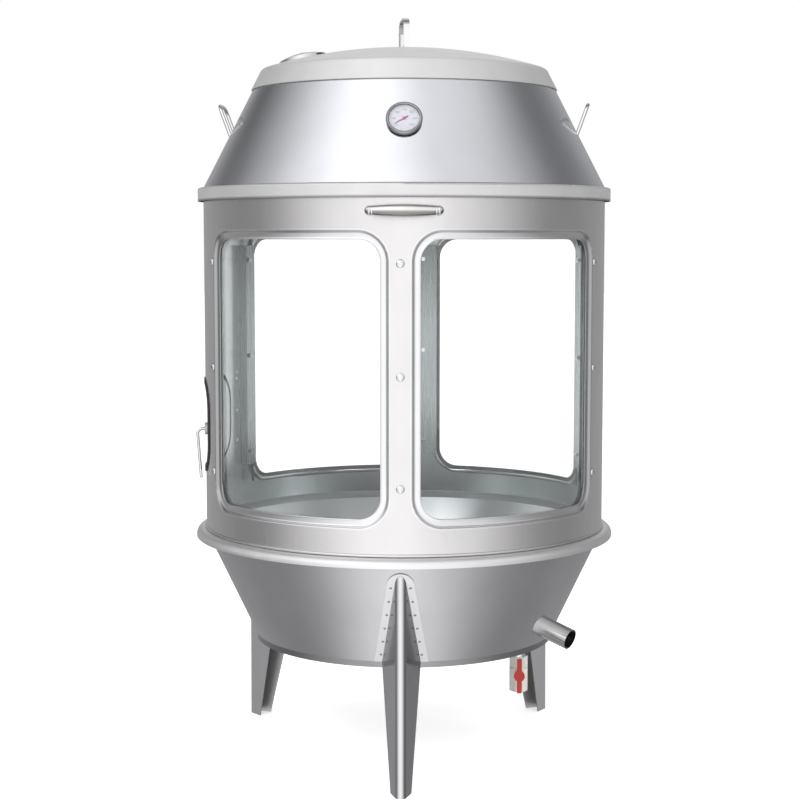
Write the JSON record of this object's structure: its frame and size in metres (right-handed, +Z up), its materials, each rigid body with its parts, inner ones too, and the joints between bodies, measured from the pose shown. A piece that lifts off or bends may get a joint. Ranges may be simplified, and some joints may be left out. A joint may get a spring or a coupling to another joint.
{
  "type": "display roasting oven",
  "caption": "Free-standing stainless charcoal roasting oven: curved glass barrel, conical hood with thermometer, fire bowl, folded legs",
  "frame": {"origin": "the oven's axis at floor level", "axes": "+Z up the axis, -Y the front with the thermometer, +X to the right of the front"},
  "size_m": [0.8399, 0.892, 1.4594],
  "materials": {
    "brushed_barrel_steel": "fine vertical brush, satin",
    "brushed_bowl_steel": "satin, slightly stained",
    "polished_steel": "polished stainless",
    "polished_hood_steel": "bright rolled stainless",
    "matte_lid_steel": "matte stainless",
    "inner_steel": "cut edges, satin",
    "rivet_aluminium": "cast, dull",
    "valve_plastic": "off-white moulded",
    "seal_plastic": "white",
    "red_plastic": "moulded",
    "basket_iron": "heat-darkened",
    "clear_glass": "clear, faint green",
    "silicone": "translucent dark grey",
    "black_rubber": "matte",
    "gauge_chrome": "dark chrome",
    "dial_white": "printed satin",
    "pointer_red": "satin"
  },
  "bodies": {
    "base": {"bowl_shell": "brushed_bowl_steel", "bowl_floor": "brushed_bowl_steel", "bowl_rim": "polished_steel", "leg_front": "polished_steel", "leg_left": "polished_steel", "leg_right": "polished_steel", "leg_plates": "brushed_bowl_steel", "leg_rivets": "rivet_aluminium", "oil_outlet_pipe": "polished_steel", "drain_nipple": "polished_steel", "drain_locknuts": "polished_steel", "valve_body": "valve_plastic", "valve_seats": "seal_plastic"},
    "valve_core": {"valve_ball": "polished_steel", "valve_stem": "polished_steel", "valve_handle": "red_plastic"},
    "charcoal": {"charcoal_basket": "basket_iron", "basket_grate": "basket_iron"},
    "barrel": {"barrel_shell": "brushed_barrel_steel", "window_frame_front_left": "brushed_barrel_steel", "window_frame_front_right": "brushed_barrel_steel", "window_frame_rear_left": "brushed_barrel_steel", "window_frame_rear_right": "brushed_barrel_steel", "window_glass_front_left": "clear_glass", "window_glass_front_right": "clear_glass", "window_glass_rear_left": "clear_glass", "window_glass_rear_right": "clear_glass", "window_seals": "silicone", "mullion_strips": "inner_steel", "pillar_strips": "inner_steel", "window_screws": "polished_steel", "window_nuts": "polished_steel", "barrel_handle_front": "polished_steel", "barrel_handle_rear": "polished_steel", "hatch_trim": "black_rubber", "hatch_leaf": "inner_steel", "hatch_rivets": "rivet_aluminium", "hatch_pin": "polished_steel", "ring_brackets": "inner_steel"},
    "hatch": {"hatch_door": "brushed_barrel_steel", "hatch_door_leaf": "inner_steel", "latch_plate": "polished_steel"},
    "latch": {"latch_handle": "polished_steel", "latch_finger": "inner_steel"},
    "ring": {"hanging_ring": "polished_steel"},
    "hood": {"hood_shell": "polished_hood_steel", "hood_ring": "polished_steel", "hood_handle_left": "polished_steel", "hood_handle_right": "polished_steel", "thermometer_case": "gauge_chrome", "thermometer_dial": "dial_white", "thermometer_lens": "clear_glass", "thermometer_stem": "polished_steel", "thermometer_nut": "polished_steel"},
    "pointer": {"thermometer_pointer": "pointer_red"},
    "lid": {"lid_shell": "matte_lid_steel", "lid_handle": "polished_steel", "vent_base": "matte_lid_steel"},
    "vent": {"vent_cap": "matte_lid_steel"}
  },
  "joints": [
    {"name": "barrel_lift", "type": "slide", "parent": "base", "child": "barrel", "axis": [0, 0, 1], "range_m": [0, 0.3]},
    {"name": "basket_lift", "type": "slide", "parent": "base", "child": "charcoal", "axis": [0, 0, 1], "range_m": [0, 0.12]},
    {"name": "valve_turn", "type": "hinge", "parent": "base", "child": "valve_core", "pos_m": [0.23299, -0.05617, 0.146], "axis": [0, -1, 0], "range_deg": [0, 90]},
    {"name": "hatch_hinge", "type": "hinge", "parent": "barrel", "child": "hatch", "pos_m": [-0.37529, 0.15358, 0.6578], "axis": [0, 0, -1], "range_deg": [0, 110]},
    {"name": "hatch_latch", "type": "hinge", "parent": "hatch", "child": "latch", "pos_m": [-0.39335, -0.07261, 0.6518], "axis": [-0.9834, -0.1815, 0], "range_deg": [-90, 0]},
    {"name": "ring_lift", "type": "slide", "parent": "barrel", "child": "ring", "axis": [0, 0, 1], "range_m": [0, 0.05]},
    {"name": "hood_lift", "type": "slide", "parent": "barrel", "child": "hood", "axis": [0, 0, 1], "range_m": [0, 0.25]},
    {"name": "pointer_turn", "type": "hinge", "parent": "hood", "child": "pointer", "pos_m": [0, -0.34122, 1.2406], "axis": [0, 0.8888, -0.4583], "range_deg": [-12, 258]},
    {"name": "lid_lift", "type": "slide", "parent": "hood", "child": "lid", "axis": [0, 0, 1], "range_m": [0, 0.2]},
    {"name": "vent_turn", "type": "hinge", "parent": "lid", "child": "vent", "pos_m": [-0.20284, 0.05435, 1.37815], "axis": [-0.2113, 0.0566, 0.9758], "range_deg": [0, 150]}
  ]
}
